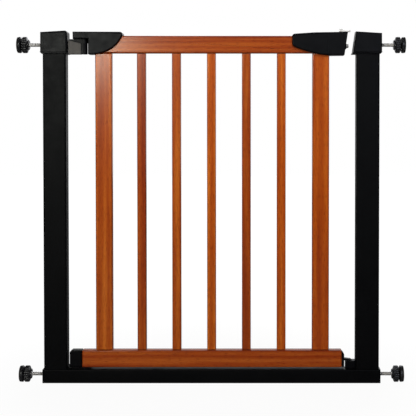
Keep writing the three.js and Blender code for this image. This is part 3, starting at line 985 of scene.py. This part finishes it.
def make_spindle(spindle, side, face, z):
    origin = (side * face, 0, z)
    outward = (side, 0, 0)
    stand_for(threaded_rod(f"{spindle}_threaded_rod", origin, outward), f"{spindle}_rod")
    stand_for(hand_wheel(f"{spindle}_scalloped_wheel", origin, outward), f"{spindle}_hand_wheel")
    nut = lathe(f"{spindle}_nut_core", nut_profile(), origin, outward)
    stand_for(nut, f"{spindle}_wheel_nut")
    disc = lathe(f"{spindle}_pad_holder", disc_profile(), origin, outward, 64)
    stand_for(disc, f"{spindle}_pad_disc")
    rubber = lathe(f"{spindle}_ringed_pad", pad_profile(), origin, outward, 64)
    stand_for(rubber, f"{spindle}_rubber_pad")


def make_spindles():
    for spindle, (side, face, z) in SPINDLES.items():
        make_spindle(spindle, side, face, z)


# ------------------------------------------------------------ camera and studio

SENSOR_WIDTH = 36
LENS = 80.8
SHIFT_X = -0.102
SHIFT_Y = -0.154
CAMERA_PLACE = (0.084, -2.015, 0.56)
CAMERA_TILT = math.radians(88.75)
KEY_COLOUR = (1.0, 0.93, 0.76)
ROOM_LEVEL = 0.05  # the world's strength in front of the gate
CEILING_LEVEL = 0.08  # the share of the world's light that is left overhead
FLOOR_HALF = 8000
FLOOR_TOP = -0.5  # just under the feet, so that no faces coincide
FLOOR_LOW = (0.26, 0.26, 0.26)
FLOOR_HIGH = (0.3, 0.3, 0.3)
FLOOR_WHITE = 1.06
FADE_START = 0.35  # metres from the middle of the gate
FADE_END = 1.1


def make_camera():
    """The photograph's viewpoint."""
    data = bpy.data.cameras.new("camera")
    data.sensor_width = SENSOR_WIDTH
    data.lens = LENS
    data.shift_x = SHIFT_X
    data.shift_y = SHIFT_Y
    camera = new_object("camera", data)
    camera.location = CAMERA_PLACE
    camera.rotation_euler = (CAMERA_TILT, 0, 0)
    bpy.context.scene.camera = camera


def area_light(name, place, target, size, power, spread=180, glossy=True, colour=(1, 1, 1)):
    """A softbox of size (width, height) in metres, aimed at the target."""
    data = bpy.data.lights.new(name, "AREA")
    data.shape = "RECTANGLE"
    data.size, data.size_y = size
    data.energy = power
    data.color = colour
    data.spread = math.radians(spread)
    light = new_object(name, data)
    light.visible_glossy = glossy
    light.location = place
    aim = Vector(target) - Vector(place)
    light.rotation_euler = aim.to_track_quat("-Z", "Y").to_euler()


def make_world():
    """A bright backdrop behind the gate and a dim room round it, all white to the camera."""
    world = bpy.data.worlds.new("studio")
    bpy.context.scene.world = world
    world.use_nodes = True
    tree = world.node_tree
    tree.nodes.clear()
    direction = add_node(tree, "ShaderNodeTexCoord").outputs["Generated"]
    parts = add_node(tree, "ShaderNodeSeparateXYZ", {"Vector": direction})
    behind = map_range(tree, parts.outputs["Y"], 0.0, 0.75, ROOM_LEVEL, 1.0)
    height = map_range(tree, parts.outputs["Z"], 0.22, 0.5, 1.0, CEILING_LEVEL)
    strength = math_node(tree, "MULTIPLY", behind, height)
    lit = add_node(tree, "ShaderNodeBackground", {"Strength": strength})
    lit.inputs["Color"].default_value = (1, 1, 1, 1)
    seen = add_node(tree, "ShaderNodeBackground", {"Color": (1, 1, 1, 1), "Strength": 1.0})
    path = add_node(tree, "ShaderNodeLightPath")
    shares = {0: path.outputs["Is Camera Ray"], 1: lit.outputs[0], 2: seen.outputs[0]}
    choice = add_node(tree, "ShaderNodeMixShader", shares)
    output = add_node(tree, "ShaderNodeOutputWorld")
    tree.links.new(choice.outputs[0], output.inputs["Surface"])


def make_floor():
    """A pale floor that the camera sees fade into the backdrop away from the gate."""
    bm = bmesh.new()
    below = Matrix.Translation((0, 0, FLOOR_TOP))
    bmesh.ops.create_grid(bm, x_segments=1, y_segments=1, size=FLOOR_HALF, matrix=below)
    floor = to_object("studio_floor", bm)
    material, tree, shader = new_material("pale_floor")
    output = next(node for node in tree.nodes if node.type == "OUTPUT_MATERIAL")
    coords = object_coords(tree)
    tone = ramp(tree, noise(tree, coords, 6), [(0.3, FLOOR_LOW), (0.7, FLOOR_HIGH)])
    tree.links.new(tone, shader.inputs["Base Color"])
    shader.inputs["Roughness"].default_value = 0.7
    white = add_node(
        tree, "ShaderNodeEmission", {"Color": (1, 1, 1, 1), "Strength": FLOOR_WHITE}
    )
    away = add_node(tree, "ShaderNodeVectorMath", {0: coords}, operation="LENGTH")
    fade = map_range(tree, away.outputs["Value"], FADE_START, FADE_END, 0.9, 1.0)
    path = add_node(tree, "ShaderNodeLightPath")
    share = math_node(tree, "MULTIPLY", fade, path.outputs["Is Camera Ray"])
    shares = {0: share, 1: shader.outputs[0], 2: white.outputs[0]}
    mixed = add_node(tree, "ShaderNodeMixShader", shares)
    tree.links.new(mixed.outputs[0], output.inputs["Surface"])
    floor.data.materials.append(material)


def make_studio():
    """A warm key for the glare at the upper left, a sheen for the blacks and two soft fills."""
    bpy.context.scene.view_settings.view_transform = "Standard"
    make_world()
    make_floor()
    area_light(
        "key",
        place=(-0.78, -2.4, 1.04),
        target=(-0.1, 0, 0.5),
        size=(0.45, 0.45),
        power=21,
        colour=KEY_COLOUR,
    )
    area_light(
        "right_sheen",
        place=(1.15, -2.3, 1.25),
        target=(0.3, 0, 0.6),
        size=(0.8, 1.0),
        power=11,
    )
    area_light(
        "soft_overhead",
        place=(0.05, -1.3, 1.8),
        target=(0, 0, 0.9),
        size=(1.2, 1.2),
        power=4.5,
        spread=64,
        glossy=False,
    )
    area_light(
        "rear_fill",
        place=(0.4, 2.2, 1.7),
        target=(0, 0, 0.5),
        size=(1.4, 1.0),
        power=16,
    )


make_camera()
make_studio()
make_frame()
make_wood()
make_covers()
make_release()
make_shoes()
make_spindles()
